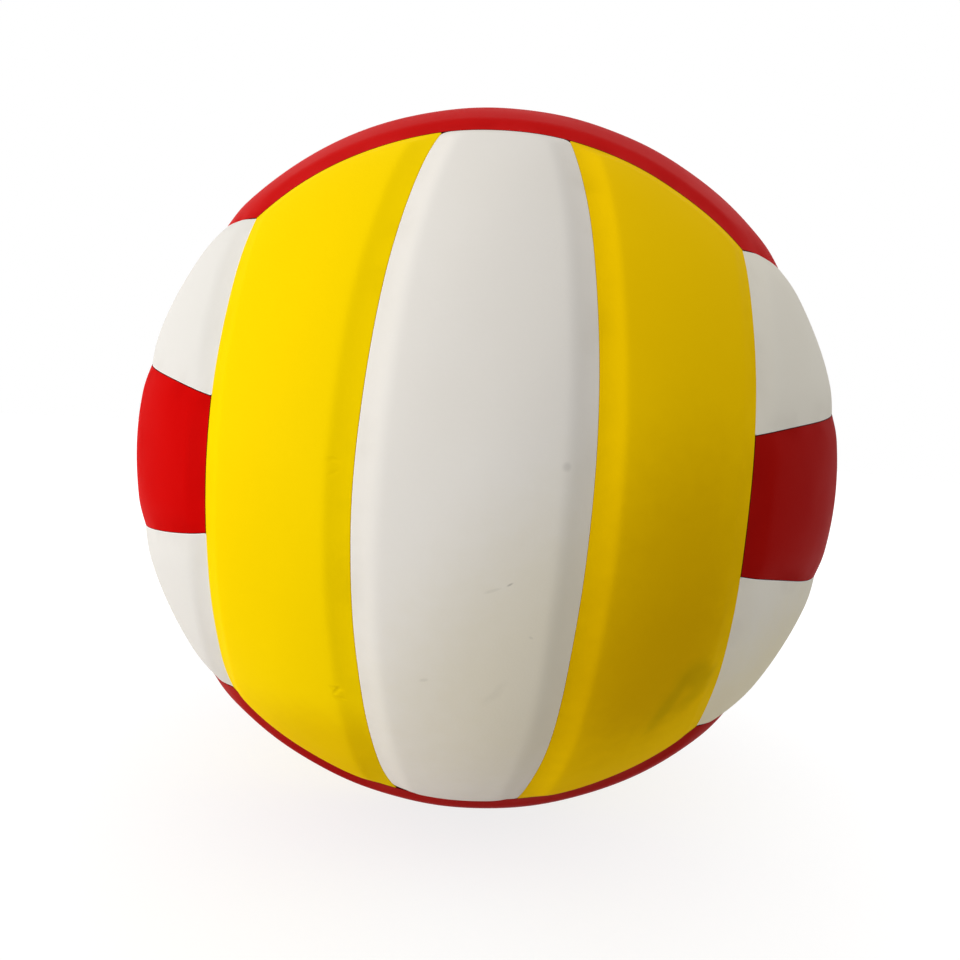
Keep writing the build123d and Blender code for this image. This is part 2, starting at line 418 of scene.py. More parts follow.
@dataclass(frozen=True)
class GridCounts:
    """Cells of the grid that a strip's surface starts from, and how strongly they crowd to its borders."""

    across: int
    along: int
    crowding: float = 1.8

    def crowd(self, share: Array) -> Array:
        """Move shares from -1 to 1 towards the ends of that range."""
        return np.sign(share) * (1 - (1 - np.abs(share)) ** self.crowding)


class NodeSheet:
    """A node tree that is filled in few words."""

    def __init__(self, tree: bpy.types.NodeTree) -> None:
        """Take over a tree."""
        self.tree = tree

    def node(self, kind: str, inputs: dict | None = None, **settings: object) -> bpy.types.Node:
        """Add a node.

        Args:
            kind: The node's type.
            inputs: Values or sockets for its inputs, by name or number.
            settings: Values for its properties.

        Returns:
            The new node.
        """
        made = self.tree.nodes.new(kind)
        for name, value in settings.items():
            setattr(made, name, value)
        for name, value in (inputs or {}).items():
            if isinstance(value, Socket):
                self.tree.links.new(value, made.inputs[name])
            elif made.inputs[name].type == "RGBA":
                made.inputs[name].default_value = (*value, 1.0)
            else:
                made.inputs[name].default_value = value
        return made

    def calc(self, operation: str, first: object, second: object = 0.0) -> Socket:
        """Result of a math node on two values or sockets."""
        return self.node("ShaderNodeMath", {0: first, 1: second}, operation=operation).outputs[0]

    def vector(self, operation: str, first: object, second: object = (0.0, 0.0, 0.0)) -> bpy.types.Node:
        """Vector math node on two vectors or sockets."""
        return self.node("ShaderNodeVectorMath", {0: first, 1: second}, operation=operation)

    def mix(self, share: object, first: object, second: object) -> Socket:
        """Colour between two colours or sockets, by a share."""
        inputs = {0: share, MIX_FIRST: first, MIX_SECOND: second}
        return self.node("ShaderNodeMix", inputs, data_type="RGBA").outputs[MIX_RESULT]

    def ramp(self, value: object, low: float, high: float, start: float, stop: float) -> Socket:
        """Value carried smoothly from one range to another."""
        ends = {0: value, 1: low, 2: high, 3: start, 4: stop}
        return self.node("ShaderNodeMapRange", ends, interpolation_type="SMOOTHSTEP").outputs[0]

    def noise(self, place: Socket, scale: object, detail: float = 2.0) -> Socket:
        """Noise value at a place."""
        inputs = {"Vector": place, "Scale": scale, "Detail": detail}
        return self.node("ShaderNodeTexNoise", inputs).outputs[0]

    def place(self) -> Socket:
        """Place on the ball, in metres."""
        return self.node("ShaderNodeTexCoord").outputs["Object"]

    def bump(self, height: Socket, depth: float) -> Socket:
        """Normal of a surface with a height in shares of a depth in metres."""
        return self.node("ShaderNodeBump", {"Height": height, "Distance": depth, "Strength": 1.0}).outputs[0]


@dataclass
class EffectGroups:
    """Shader groups that several finishes share."""

    pebble_smoothness: float = 0.7
    pebble_share: float = 0.7
    fine_scale: float = 3800.0
    mottle_noise: Pair = (24.0, 5.0)
    edge_fade: Pair = (0.2, 1.0)
    patch_noise: Pair = (95.0, 4.0)
    patch_range: Pair = (0.42, 0.70)
    haze_reach: Pair = (0.0002, 0.006)
    ragged_noise: Pair = (260.0, 4.0)
    ragged_middle: float = 0.5
    smudge_fade: Pair = (0.25, 1.0)
    peel_detail: float = 3.0
    bloom_noise: Pair = (140.0, 5.0)

    def __post_init__(self) -> None:
        """Build the groups once."""
        self.grain = self.make_grain()
        self.soiling = self.make_soiling()
        self.smudge = self.make_smudge()
        self.moulding = self.make_moulding()

    @staticmethod
    def start(
        name: str, inputs: dict[str, str], outputs: tuple[str, ...]
    ) -> tuple[NodeSheet, bpy.types.Node]:
        """Open a new group.

        Args:
            name: The group's name.
            inputs: Socket types of its inputs, by name.
            outputs: Names of its outputs, which are plain values.

        Returns:
            The group's sheet and its input node.
        """
        tree = bpy.data.node_groups.new(name, "ShaderNodeTree")
        for label, kind in inputs.items():
            tree.interface.new_socket(label, in_out="INPUT", socket_type=kind)
        for label in outputs:
            tree.interface.new_socket(label, in_out="OUTPUT", socket_type="NodeSocketFloat")
        sheet = NodeSheet(tree)
        return sheet, sheet.node("NodeGroupInput")

    @staticmethod
    def close(sheet: NodeSheet, outputs: dict[str, Socket]) -> bpy.types.NodeTree:
        """Join a group's results to its outputs and hand it over."""
        sheet.node("NodeGroupOutput", outputs)
        return sheet.tree

    def make_grain(self) -> bpy.types.NodeTree:
        """Fine pebbled grain of coated leather, and broad mottling of its colour."""
        sheet, given = self.start("leather_grain", {"Pebbles": "NodeSocketFloat"}, ("Height", "Mottle"))
        place = sheet.place()
        inputs = {"Vector": place, "Scale": given.outputs["Pebbles"], "Smoothness": self.pebble_smoothness}
        pebbles = sheet.node("ShaderNodeTexVoronoi", inputs, feature="SMOOTH_F1").outputs["Distance"]
        fine = sheet.noise(place, self.fine_scale)
        pebbles = sheet.calc("MULTIPLY", pebbles, self.pebble_share)
        fine = sheet.calc("MULTIPLY", fine, 1 - self.pebble_share)
        height = sheet.calc("ADD", pebbles, fine)
        return self.close(sheet, {"Height": height, "Mottle": sheet.noise(place, *self.mottle_noise)})

    def make_soiling(self) -> bpy.types.NodeTree:
        """Cut edge of a cover in its seam, and handling dirt that gathers along its border."""
        sheet, given = self.start("seam_soiling", {"Edge width": "NodeSocketFloat"}, ("Edge", "Haze"))
        border = sheet.node("ShaderNodeAttribute", attribute_name=BORDER).outputs["Fac"]
        share = sheet.calc("DIVIDE", border, given.outputs["Edge width"])
        edge = sheet.ramp(share, *self.edge_fade, 1.0, 0.0)
        patches = sheet.ramp(sheet.noise(sheet.place(), *self.patch_noise), *self.patch_range, 0.0, 1.0)
        haze = sheet.calc("MULTIPLY", sheet.ramp(border, *self.haze_reach, 1.0, 0.0), patches)
        return self.close(sheet, {"Edge": edge, "Haze": haze})

    def make_smudge(self) -> bpy.types.NodeTree:
        """Mask of a broken stroke of a length and a width, for scuffs, smears, painted shade and wrinkles.
        """
        kinds = {"Centre": "NodeSocketVector", "Course": "NodeSocketVector"}
        kinds |= dict.fromkeys(("Half length", "Half width", "Broken"), "NodeSocketFloat")
        sheet, given = self.start("smudge", kinds, ("Mask",))
        place = sheet.place()
        offset = sheet.vector("SUBTRACT", place, given.outputs["Centre"]).outputs["Vector"]
        along = sheet.vector("DOT_PRODUCT", offset, given.outputs["Course"]).outputs["Value"]
        length = sheet.vector("LENGTH", offset).outputs["Value"]
        beside = sheet.calc("SUBTRACT", sheet.calc("POWER", length, 2.0), sheet.calc("POWER", along, 2.0))
        beside = sheet.calc("SQRT", sheet.calc("MAXIMUM", beside, 0.0))
        along_share = sheet.calc("POWER", sheet.calc("DIVIDE", along, given.outputs["Half length"]), 2.0)
        beside_share = sheet.calc("POWER", sheet.calc("DIVIDE", beside, given.outputs["Half width"]), 2.0)
        reach = sheet.calc("SQRT", sheet.calc("ADD", along_share, beside_share))
        ragged = sheet.calc("SUBTRACT", sheet.noise(place, *self.ragged_noise), self.ragged_middle)
        reach = sheet.calc("ADD", reach, sheet.calc("MULTIPLY", ragged, given.outputs["Broken"]))
        return self.close(sheet, {"Mask": sheet.ramp(reach, *self.smudge_fade, 1.0, 0.0)})

    def make_moulding(self) -> bpy.types.NodeTree:
        """Faint orange peel and bloom of moulded rubber."""
        sheet, given = self.start("moulded_rubber", {"Peel": "NodeSocketFloat"}, ("Height", "Bloom"))
        place = sheet.place()
        peel = sheet.noise(place, given.outputs["Peel"], self.peel_detail)
        return self.close(sheet, {"Height": peel, "Bloom": sheet.noise(place, *self.bloom_noise)})


@dataclass(frozen=True)
class Stroke:
    """A short stroke on the ball: where it is, which way it runs, its size and how broken it is."""

    azimuth: float
    elevation: float
    heading: float
    half_length: float
    half_width: float
    broken: float

    def mask(self, sheet: NodeSheet, effects: EffectGroups, radius: float) -> Socket:
        """Mask that is 1 in the stroke and fades to 0 around it.

        Args:
            sheet: The sheet to draw on.
            effects: The shared shader groups.
            radius: The ball's radius.

        Returns:
            The mask's socket.
        """
        inputs = {
            "Centre": tuple(on_ball(self.azimuth, self.elevation) * radius),
            "Course": tuple(heading_on_ball(self.azimuth, self.elevation, self.heading)),
            "Half length": self.half_length,
            "Half width": self.half_width,
            "Broken": self.broken,
        }
        return sheet.node("ShaderNodeGroup", inputs, node_tree=effects.smudge).outputs["Mask"]


@dataclass(frozen=True)
class Mark(Stroke):
    """A mark that colours a cover: a scuff, a smear, or a patch of painted shade."""

    strength: float
    colour: Colour


@dataclass(frozen=True)
class Wrinkle(Stroke):
    """A wrinkle pressed into a cover's skin."""

    depth: float


class Finish:
    """A material with one plain shader, ready to be dressed."""

    def __init__(self, name: str, roughness: float, gloss: float) -> None:
        """Open the material.

        Args:
            name: The material's name.
            roughness: Its plain roughness.
            gloss: Its specular level.
        """
        self.material = bpy.data.materials.new(name)
        self.material.use_nodes = True
        self.sheet = NodeSheet(self.material.node_tree)
        self.shader = self.material.node_tree.nodes["Principled BSDF"]
        self.shader.inputs["Roughness"].default_value = roughness
        self.shader.inputs["Specular IOR Level"].default_value = gloss

    def dress(self, **results: Socket) -> Material:
        """Join results to the shader.

        Args:
            results: Sockets by the shader's own input names, in lower case with underscores.

        Returns:
            The finished material.
        """
        for name, socket in results.items():
            self.sheet.tree.links.new(socket, self.shader.inputs[name.replace("_", " ").title()])
        return self.material


@dataclass(frozen=True)
class LeatherFinish:
    """Satin coated leather of one colour, with grain, handling dirt, marks and patches of painted shade."""

    leather: Leather
    colour: Colour
    shade: Colour
    dirt: Colour
    cut_edge: Colour
    dirt_share: float
    marks: tuple[Mark, ...] = ()
    wrinkles: tuple[Wrinkle, ...] = ()
    strips: tuple[str, ...] = ()
    roughness: float = 0.6
    gloss: float = 0.006
    pebbles: float = 1500.0
    grain_depth: float = 0.00002
    edge_width: float = 0.00006
    mottle_range: Pair = (0.35, 0.72)
    mottle_share: float = 0.55
    rub_range: Pair = (0.3, 0.7)
    rub_change: Pair = (-0.05, 0.06)
    haze_roughness: float = 0.10

    @property
    def places(self) -> tuple[str, ...]:
        """The strips that this finish is kept for, or else its slot, for all strips of the colour."""
        return self.strips or (self.leather.value,)

    def make(self, effects: EffectGroups, radius: float) -> Material:
        """Build the material.

        Args:
            effects: The shared shader groups.
            radius: The ball's radius, for placing the marks.

        Returns:
            The material.
        """
        finish = Finish("_".join((self.leather.value, *self.strips, "leather")), self.roughness, self.gloss)
        sheet = finish.sheet
        grain = sheet.node("ShaderNodeGroup", {"Pebbles": self.pebbles}, node_tree=effects.grain).outputs
        width = {"Edge width": self.edge_width}
        soil = sheet.node("ShaderNodeGroup", width, node_tree=effects.soiling).outputs
        mottle = sheet.ramp(grain["Mottle"], *self.mottle_range, 0.0, self.mottle_share)
        colour = sheet.mix(mottle, self.colour, self.shade)
        colour = sheet.mix(sheet.calc("MULTIPLY", soil["Haze"], self.dirt_share), colour, self.dirt)
        # The marks are scuffs, a smear and patches of painted shade.
        for mark in self.marks:
            share = sheet.calc("MULTIPLY", mark.mask(sheet, effects, radius), mark.strength)
            colour = sheet.mix(share, colour, mark.colour)
        colour = sheet.mix(soil["Edge"], colour, self.cut_edge)
        smooth, rough = (self.roughness + change for change in self.rub_change)
        rubbed = sheet.ramp(grain["Mottle"], *self.rub_range, smooth, rough)
        roughness = sheet.calc("ADD", rubbed, sheet.calc("MULTIPLY", soil["Haze"], self.haze_roughness))
        height = grain["Height"]
        for wrinkle in self.wrinkles:
            share = wrinkle.depth / self.grain_depth
            sunk = sheet.calc("MULTIPLY", wrinkle.mask(sheet, effects, radius), share)
            height = sheet.calc("SUBTRACT", height, sunk)
        normal = sheet.bump(height, self.grain_depth)
        return finish.dress(base_color=colour, roughness=roughness, normal=normal)


@dataclass(frozen=True)
class FoamFinish:
    """Closed-cell foam with open cut cells; its charcoal is painted shade for the seams where it shows."""

    colour: Colour = screen_colour(52, 51, 50)
    # Painted shade in the hollows of the open cells.
    painted_cell_shade: Colour = screen_colour(30, 30, 30)
    cells: float = 1100.0
    cell_depth: float = 0.00012
    cell_range: Pair = (0.1, 0.6)
    roughness: float = 0.9
    gloss: float = 0.15

    def make(self) -> Material:
        """Build the material.

        Returns:
            The material.
        """
        finish = Finish("pad_foam", self.roughness, self.gloss)
        sheet = finish.sheet
        inputs = {"Vector": sheet.place(), "Scale": self.cells}
        cells = sheet.node("ShaderNodeTexVoronoi", inputs).outputs["Distance"]
        colour = sheet.mix(sheet.ramp(cells, *self.cell_range, 1.0, 0.0), self.colour, self.painted_cell_shade)
        return finish.dress(base_color=colour, normal=sheet.bump(cells, self.cell_depth))


@dataclass(frozen=True)
class RubberFinish:
    """Moulded rubber with a faint bloom."""

    name: str
    colour: Colour
    bloom: Colour
    roughness: float
    peel: float = 1700.0
    peel_depth: float = 0.00002
    gloss: float = 0.4
    bloom_range: Pair = (0.45, 0.75)
    bloom_share: float = 0.8
    rub_range: Pair = (0.3, 0.8)
    rub_change: Pair = (-0.08, 0.12)

    def make(self, effects: EffectGroups) -> Material:
        """Build the material.

        Args:
            effects: The shared shader groups.

        Returns:
            The material.
        """
        finish = Finish(self.name, self.roughness, self.gloss)
        sheet = finish.sheet
        skin = sheet.node("ShaderNodeGroup", {"Peel": self.peel}, node_tree=effects.moulding).outputs
        bloom = sheet.ramp(skin["Bloom"], *self.bloom_range, 0.0, self.bloom_share)
        smooth, rough = (self.roughness + change for change in self.rub_change)
        roughness = sheet.ramp(skin["Bloom"], *self.rub_range, smooth, rough)
        normal = sheet.bump(skin["Height"], self.peel_depth)
        colour = sheet.mix(bloom, self.colour, self.bloom)
        return finish.dress(base_color=colour, roughness=roughness, normal=normal)


@dataclass(frozen=True)
class ThreadFinish:
    """Crossed turns of thread wound over the bladder."""

    thread: Colour = screen_colour(214, 206, 186)
    gap: Colour = screen_colour(92, 84, 70)
    turns: float = 620.0
    turn_depth: float = 0.0002
    courses: tuple[Direction, ...] = ((0.3, 0.9, 0.2), (0.8, -0.4, 0.5), (-0.4, 0.3, 1.0))
    distortion: float = 0.6
    thread_range: Pair = (0.35, 0.9)
    roughness: float = 0.6
    gloss: float = 0.3

    def make(self) -> Material:
        """Build the material.

        Returns:
            The material.
        """
        finish = Finish("winding_thread", self.roughness, self.gloss)
        sheet = finish.sheet
        place = sheet.place()
        height = None
        for course in self.courses:
            turned = sheet.node("ShaderNodeMapping", {"Vector": place, "Rotation": course}).outputs[0]
            inputs = {"Vector": turned, "Scale": self.turns, "Distortion": self.distortion}
            wave = sheet.node("ShaderNodeTexWave", inputs).outputs["Fac"]
            height = wave if height is None else sheet.calc("MAXIMUM", height, wave)
        colour = sheet.mix(sheet.ramp(height, *self.thread_range, 0.0, 1.0), self.gap, self.thread)
        return finish.dress(base_color=colour, normal=sheet.bump(height, self.turn_depth))


@dataclass
class StripPanels:
    """The eighteen strips: a leather cover over a foam pad, each in a piece of its own."""

    sizes: BallSizes
    faults: Unevenness
    leathers: dict[str, Material]
    foam: Material
    softness: dict[Leather, float]
    cover_grid: GridCounts = GridCounts(64, 160)
    valve_grid: GridCounts = GridCounts(96, 240)
    foam_grid: GridCounts = GridCounts(24, 64)
    hole_spread: float = 2.6
    corner_radius: float = 0.0005
    front_corners: tuple[float, ...] = (0.0080, 0.0032, 0.0014, 0.0024)

    def build(self) -> None:
        """Make every cover and pad."""
        for group in Group:
            facts = group.value
            plus = StripOutline(self.sizes, facts, False, (self.corner_radius,) * 4)
            corners = self.front_corners if group is Group.FRONT else (self.corner_radius,) * 4
            middle = StripOutline(self.sizes, facts, True, corners)
            self.strip(group, facts.plus_name, plus, False, facts.side_leather)
            self.strip(group, "middle", middle, False, facts.middle_leather)
            self.strip(group, facts.minus_name, plus, True, facts.side_leather)

    def strip(
        self, group: Group, name: str, outline: StripOutline, half_turn: bool, leather: Leather
    ) -> None:
        """Make one strip's cover and pad.

        Args:
            group: The strip's group.
            name: The strip's name in the group.
            outline: Its outline.
            half_turn: Whether it lies on the group's other side.
            leather: Its colour.
        """
        place = f"{group.name.lower()}_{name}"
        holed = group is Group.BACK and outline.middle
        for layer in Layer:
            piece = self.piece(layer, place, outline, group.axes(half_turn), self.softness[leather], holed)
            skin = self.leathers.get(place, self.leathers[leather.value])
            piece.data.materials.append(skin if layer is Layer.COVER else self.foam)
            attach(piece, BALL_BODY)
            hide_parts(f"{layer.value}_{place}")
            log.info("%s: %d faces", piece.name, len(piece.data.polygons))

    def piece(
        self, layer: Layer, place: str, outline: StripOutline, axes: Array, softness: float, holed: bool
    ) -> bpy.types.Object:
        """Model one layer of a strip as a closed shell.

        Args:
            layer: Which layer it is.
            place: The strip's place on the ball, for its name.
            outline: The strip's outline.
            axes: The strip's axes on the ball.
            softness: How far the crease of its border is rounded, in metres.
            holed: Whether the valve's neck passes through it.

        Returns:
            The new object.
        """
        profile = SkinProfile(self.sizes, softness)
        counts = self.foam_grid if layer is Layer.FOAM else self.valve_grid if holed else self.cover_grid
        shell = bmesh.new()
        border_layer = shell.verts.layers.float.new(BORDER)
        bmesh.ops.create_grid(shell, x_segments=counts.across, y_segments=counts.along, size=1.0)
        top = list(shell.verts)
        grown = bmesh.ops.extrude_face_region(shell, geom=list(shell.faces))["geom"]
        under = [item for item in grown if isinstance(item, bmesh.types.BMVert)]
        inside: set[bmesh.types.BMVert] = set()
        for verts, raised in ((top, True), (under, False)):
            shares = counts.crowd(np.array([vert.co[:2] for vert in verts]))
            points = outline.spread(shares[:, 0], shares[:, 1])
            points, border, blended = outline.settle(points)
            if holed:
                points, from_hole = self.open_hole(outline, counts, points)
                inside.update(vert for vert, gap in zip(verts, from_hole) if gap < HOLE_TOLERANCE)
                border = np.minimum(border, np.maximum(from_hole, 0.0))
            ball_points = points @ axes
            ball_points += self.faults.wander(ball_points) / self.sizes.radius
            ball_points /= np.linalg.norm(ball_points, axis=1, keepdims=True)
            heights = self.heights(layer, raised, profile, ball_points, border, blended)
            for vert, point, height, edge in zip(verts, ball_points, heights, border):
                vert.co = Vector(point) * height
                vert[border_layer] = edge if raised else 0.0
        if holed:
            self.join_rims(shell, inside)
        bmesh.ops.recalc_face_normals(shell, faces=list(shell.faces))
        self.smooth(shell, set(under))
        name = ("leather_" if layer is Layer.COVER else "pad_") + place
        mesh = bpy.data.meshes.new(name)
        shell.to_mesh(mesh)
        shell.free()
        return add_object(name, mesh)

    @staticmethod
    def join_rims(shell: bmesh.types.BMesh, inside: set[bmesh.types.BMVert]) -> None:
        """Clear the faces inside the valve's hole and wall it from rim to rim.

        Args:
            shell: The strip's shell.
            inside: The vertices on the hole's edge and within it.
        """
        lost = [face for face in shell.faces if all(vert in inside for vert in face.verts)]
        bmesh.ops.delete(shell, geom=lost, context="FACES")
        rims = [edge for edge in shell.edges if len(edge.link_faces) == 1]
        bmesh.ops.bridge_loops(shell, edges=rims)

    @staticmethod
    def smooth(shell: bmesh.types.BMesh, lower: set[bmesh.types.BMVert]) -> None:
        """Shade the shell smooth, with a sharp edge round its underside.

        Args:
            shell: The strip's shell.
            lower: The vertices of its underside.
        """
        for edge in shell.edges:
            corners = [sum(vert in lower for vert in face.verts) for face in edge.link_faces]
            edge.smooth = not (all(vert in lower for vert in edge.verts) and min(corners) < max(corners))
        for face in shell.faces:
            face.smooth = True

    def heights(
        self, layer: Layer, raised: bool, profile: SkinProfile, points: Array, border: Array, blended: Array
    ) -> Array:
        """Distances from the ball's centre of one side of a layer.

        Args:
            layer: Which layer it is.
            raised: Whether it is the outer side.
            profile: How the strip falls to its seams.
            points: Unit vectors on the ball.
            border: Distances from the strip's edge.
            blended: The same with blended ridges.

        Returns:
            Distances in metres.
        """
        crown = self.sizes.radius - profile.fall(blended)
        if layer is Layer.COVER and raised:
            return crown - profile.roll(border) + self.faults.swelling(points)
        below = crown - self.sizes.cover_thickness
        if layer is Layer.COVER:
            return below
        if raised:
            return below - self.sizes.bond_line
        return np.full(len(points), self.sizes.foam_floor)

    def open_hole(self, outline: StripOutline, counts: GridCounts, points: Array) -> tuple[Array, Array]:
        """Bend the grid round the valve's hole, in the middle of a strip.

        Args:
            outline: The strip's outline.
            counts: The strip's grid.
            points: Unit vectors in the group's axes.

        Returns:
            The moved unit vectors, and their distances from the hole's edge in metres, negative inside it.
        """
        radius, hole = self.sizes.radius, self.sizes.valve_hole_radius
        lines_across = counts.crowd(np.linspace(-1, 1, counts.across + 1))
        lines_along = counts.crowd(np.linspace(-1, 1, counts.along + 1))
        across = np.abs(outline.spread(lines_across, np.zeros_like(lines_across))[:, 0]) * radius
        along = np.abs(outline.spread(np.zeros_like(lines_along), lines_along)[:, 1]) * radius
        half = np.array([side[np.argmin(np.abs(side - hole))] for side in (across, along)])
        flat = points[:, :2] * radius
        shares = flat / half
        square = np.max(np.abs(shares), axis=1)
        courses = shares / np.maximum(np.linalg.norm(shares, axis=1, keepdims=True), TINY)
        ring = courses * (square * hole)[:, None]
        pull = 1 - ease((square - 1) / (self.hole_spread - 1))
        flat = flat + (ring - flat) * pull[:, None]
        height = np.sqrt(np.maximum(1 - np.sum((flat / radius) ** 2, axis=1), 0.0)) * np.sign(points[:, 2])
        near = (square < self.hole_spread)[:, None]
        moved = np.where(near, np.concatenate((flat / radius, height[:, None]), axis=1), points)
        return moved, np.where(square < 1 + RING_TOLERANCE, 0.0, np.linalg.norm(flat, axis=1) - hole)


BLOOM = screen_colour(60, 60, 60)


@dataclass
class InnerBall:
    """Carcass, winding, bladder and valve, which keep their solids and get their finishes."""

    effects: EffectGroups
    carcass: RubberFinish = RubberFinish("carcass_rubber", screen_colour(24, 24, 25), BLOOM, 0.62)
    winding: ThreadFinish = ThreadFinish()
    bladder: RubberFinish = RubberFinish("bladder_rubber", screen_colour(40, 36, 33), BLOOM, 0.5)
    valve_body: RubberFinish = RubberFinish("valve_rubber", screen_colour(33, 33, 34), BLOOM, 0.5)
    valve_plug: RubberFinish = RubberFinish("plug_rubber", screen_colour(46, 46, 47), BLOOM, 0.45)

    def dress(self) -> None:
        """Give each carried-over node its material."""
        materials = {
            "carcass": self.carcass.make(self.effects),
            "winding": self.winding.make(),
            "bladder": self.bladder.make(self.effects),
            "valve_body": self.valve_body.make(self.effects),
            "valve_plug": self.valve_plug.make(self.effects),
        }
        for node, material in materials.items():
            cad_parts[node].material_slots[0].material = material
            log.info("%s: %s", node, material.name)


@dataclass
class Studio:
    """Camera, light and floor around the ball."""

    sizes: BallSizes
    camera_distance: float = 2.4143
    azimuth: float = 1.306
    elevation: float = 4.42
    roll: float = 4.2417
    lens: float = 28.875
    shift: Pair = (-0.00732, -0.02292)
    clip_start: float = 0.01
    key_from: Direction = (-0.88, -0.475, 0.0)
    key_distance: float = 1.3
    key_size: float = 0.5
    key_power: float = 12.3
    sky: float = 0.91
    sky_grade: Pair = (-0.1, 0.5)
    floor_radius: float = 2.0
    floor_segments: int = 96
    floor_colours: Pair = (0.76, 0.44)
    shadow_reach: Pair = (0.12, 0.34)
    shadow_white: float = 0.8
    shadow_colour: float = 0.24

    def build(self) -> None:
        """Set up the camera, the light and the floor."""
        self.place_camera()
        self.place_key()
        self.light_surround()
        self.lay_floor()

    def place_camera(self) -> None:
        """Put the camera where the photograph was taken from."""
        data = bpy.data.cameras.new("camera")
        data.lens = self.lens
        data.shift_x, data.shift_y = self.shift
        data.clip_start = self.clip_start
        camera = add_object("camera", data)
        back = Vector(on_ball(self.azimuth, self.elevation))
        camera.location = back * self.camera_distance * self.sizes.radius
        camera.rotation_mode = "QUATERNION"
        level = (-back).to_track_quat("-Z", "Y")
        camera.rotation_quaternion = level @ Quaternion((0, 0, 1), math.radians(self.roll))
        bpy.context.scene.camera = camera

    def place_key(self) -> None:
        """Stand one large soft lamp on the left, a little in front of the ball."""
        data = bpy.data.lights.new("key", "AREA")
        data.shape = "DISK"
        data.size = self.key_size
        data.energy = self.key_power
        lamp = add_object("key", data)
        course = Vector(self.key_from).normalized()
        lamp.location = course * self.key_distance
        lamp.rotation_mode = "QUATERNION"
        lamp.rotation_quaternion = (-course).to_track_quat("-Z", "Y")

    @staticmethod
    def seen(sheet: NodeSheet) -> Socket:
        """Tell rays that show a thing, in the picture, in gloss or through glass, from rays of light.

        Args:
            sheet: The sheet to draw on.

        Returns:
            A socket that is 1 for rays that show a thing and 0 for light.
        """
        rays = sheet.node("ShaderNodeLightPath").outputs
        mirrored = sheet.calc("MAXIMUM", rays["Is Glossy Ray"], rays["Is Transmission Ray"])
        return sheet.calc("MAXIMUM", rays["Is Camera Ray"], mirrored)

    def light_surround(self) -> None:
        """Surround the ball with white, which lights it softly from above."""
        world = bpy.data.worlds.new("studio")
        world.use_nodes = True
        bpy.context.scene.world = world
        sheet = NodeSheet(world.node_tree)
        back = world.node_tree.nodes["Background"]
        back.inputs["Color"].default_value = (*PURE_WHITE, 1.0)
        course = sheet.node("ShaderNodeTexCoord").outputs["Generated"]
        height = sheet.node("ShaderNodeSeparateXYZ", {0: course}).outputs["Z"]
        light = sheet.ramp(height, *self.sky_grade, 0.0, self.sky)
        strength = sheet.calc("MAXIMUM", light, self.seen(sheet))
        world.node_tree.links.new(strength, back.inputs["Strength"])

    def lay_floor(self) -> None:
        """Lay a pale floor that keeps the ball's shadow and fades to white."""
        disc = bmesh.new()
        bmesh.ops.create_circle(disc, cap_ends=True, segments=self.floor_segments, radius=self.floor_radius)
        bmesh.ops.translate(disc, verts=list(disc.verts), vec=(0, 0, -self.sizes.radius))
        mesh = bpy.data.meshes.new("floor")
        disc.to_mesh(mesh)
        disc.free()
        floor = add_object("floor", mesh)
        material = bpy.data.materials.new("pale_floor")
        material.use_nodes = True
        sheet = NodeSheet(material.node_tree)
        sheet.tree.nodes.remove(sheet.tree.nodes["Principled BSDF"])
        reach = sheet.vector("LENGTH", sheet.place()).outputs["Value"]
        bounce = sheet.ramp(reach, *self.shadow_reach, *self.floor_colours)
        dull = sheet.node("ShaderNodeBsdfDiffuse", {"Color": bounce})
        paint = sheet.node("ShaderNodeBsdfDiffuse", {"Color": (self.shadow_colour,) * 3})
        fade = sheet.ramp(reach, *self.shadow_reach, self.shadow_white, 1.0)
        white = sheet.node("ShaderNodeEmission", {"Color": PURE_WHITE, "Strength": fade})
        shown = sheet.node("ShaderNodeAddShader", {0: paint.outputs[0], 1: white.outputs[0]})
        inputs = {0: self.seen(sheet), 1: dull.outputs[0], 2: shown.outputs[0]}
        mixed = sheet.node("ShaderNodeMixShader", inputs)
        sheet.tree.links.new(mixed.outputs[0], sheet.tree.nodes["Material Output"].inputs["Surface"])
        mesh.materials.append(material)


# Each mark: azimuth, elevation, heading, half length, half width, how broken, strength and colour.
SCUFF = screen_colour(112, 106, 96)
# Painted shade: a warm grey-yellow that darkens the lower part of the white middle strip.
LOW_WHITE_PAINTED_SHADE = (0.70, 0.635, 0.47)
# Painted shade: a warm yellowish tint that darkens the lower part of the right white strips.
RIGHT_WHITE_PAINTED_SHADE = (0.86, 0.78, 0.54)
SCUFFS_AND_PAINTED_SHADE = (
    # Painted shade on the lower white middle strip; the small marks after it are scuffs.
    Mark(13.0, -20.0, 60.0, 0.066, 0.046, 0.2, 0.62, LOW_WHITE_PAINTED_SHADE),
    Mark(9.89, 4.05, 0.0, 0.0013, 0.0013, 0.3, 0.18, SCUFF),
    Mark(4.82, -9.13, 33.7, 0.0010, 0.00032, 0.4, 0.42, SCUFF),
    Mark(3.14, -9.89, 22.8, 0.0026, 0.00045, 1.4, 0.10, SCUFF),
    Mark(7.85, -15.41, -26.4, 0.0007, 0.0004, 0.3, 0.14, SCUFF),
    Mark(4.34, -23.46, 58.4, 0.0040, 0.0016, 1.6, 0.06, SCUFF),
    Mark(-4.40, -22.20, 16.9, 0.0014, 0.0006, 0.6, 0.11, SCUFF),
)
SMEAR = (0.52, 0.335, 0.0)
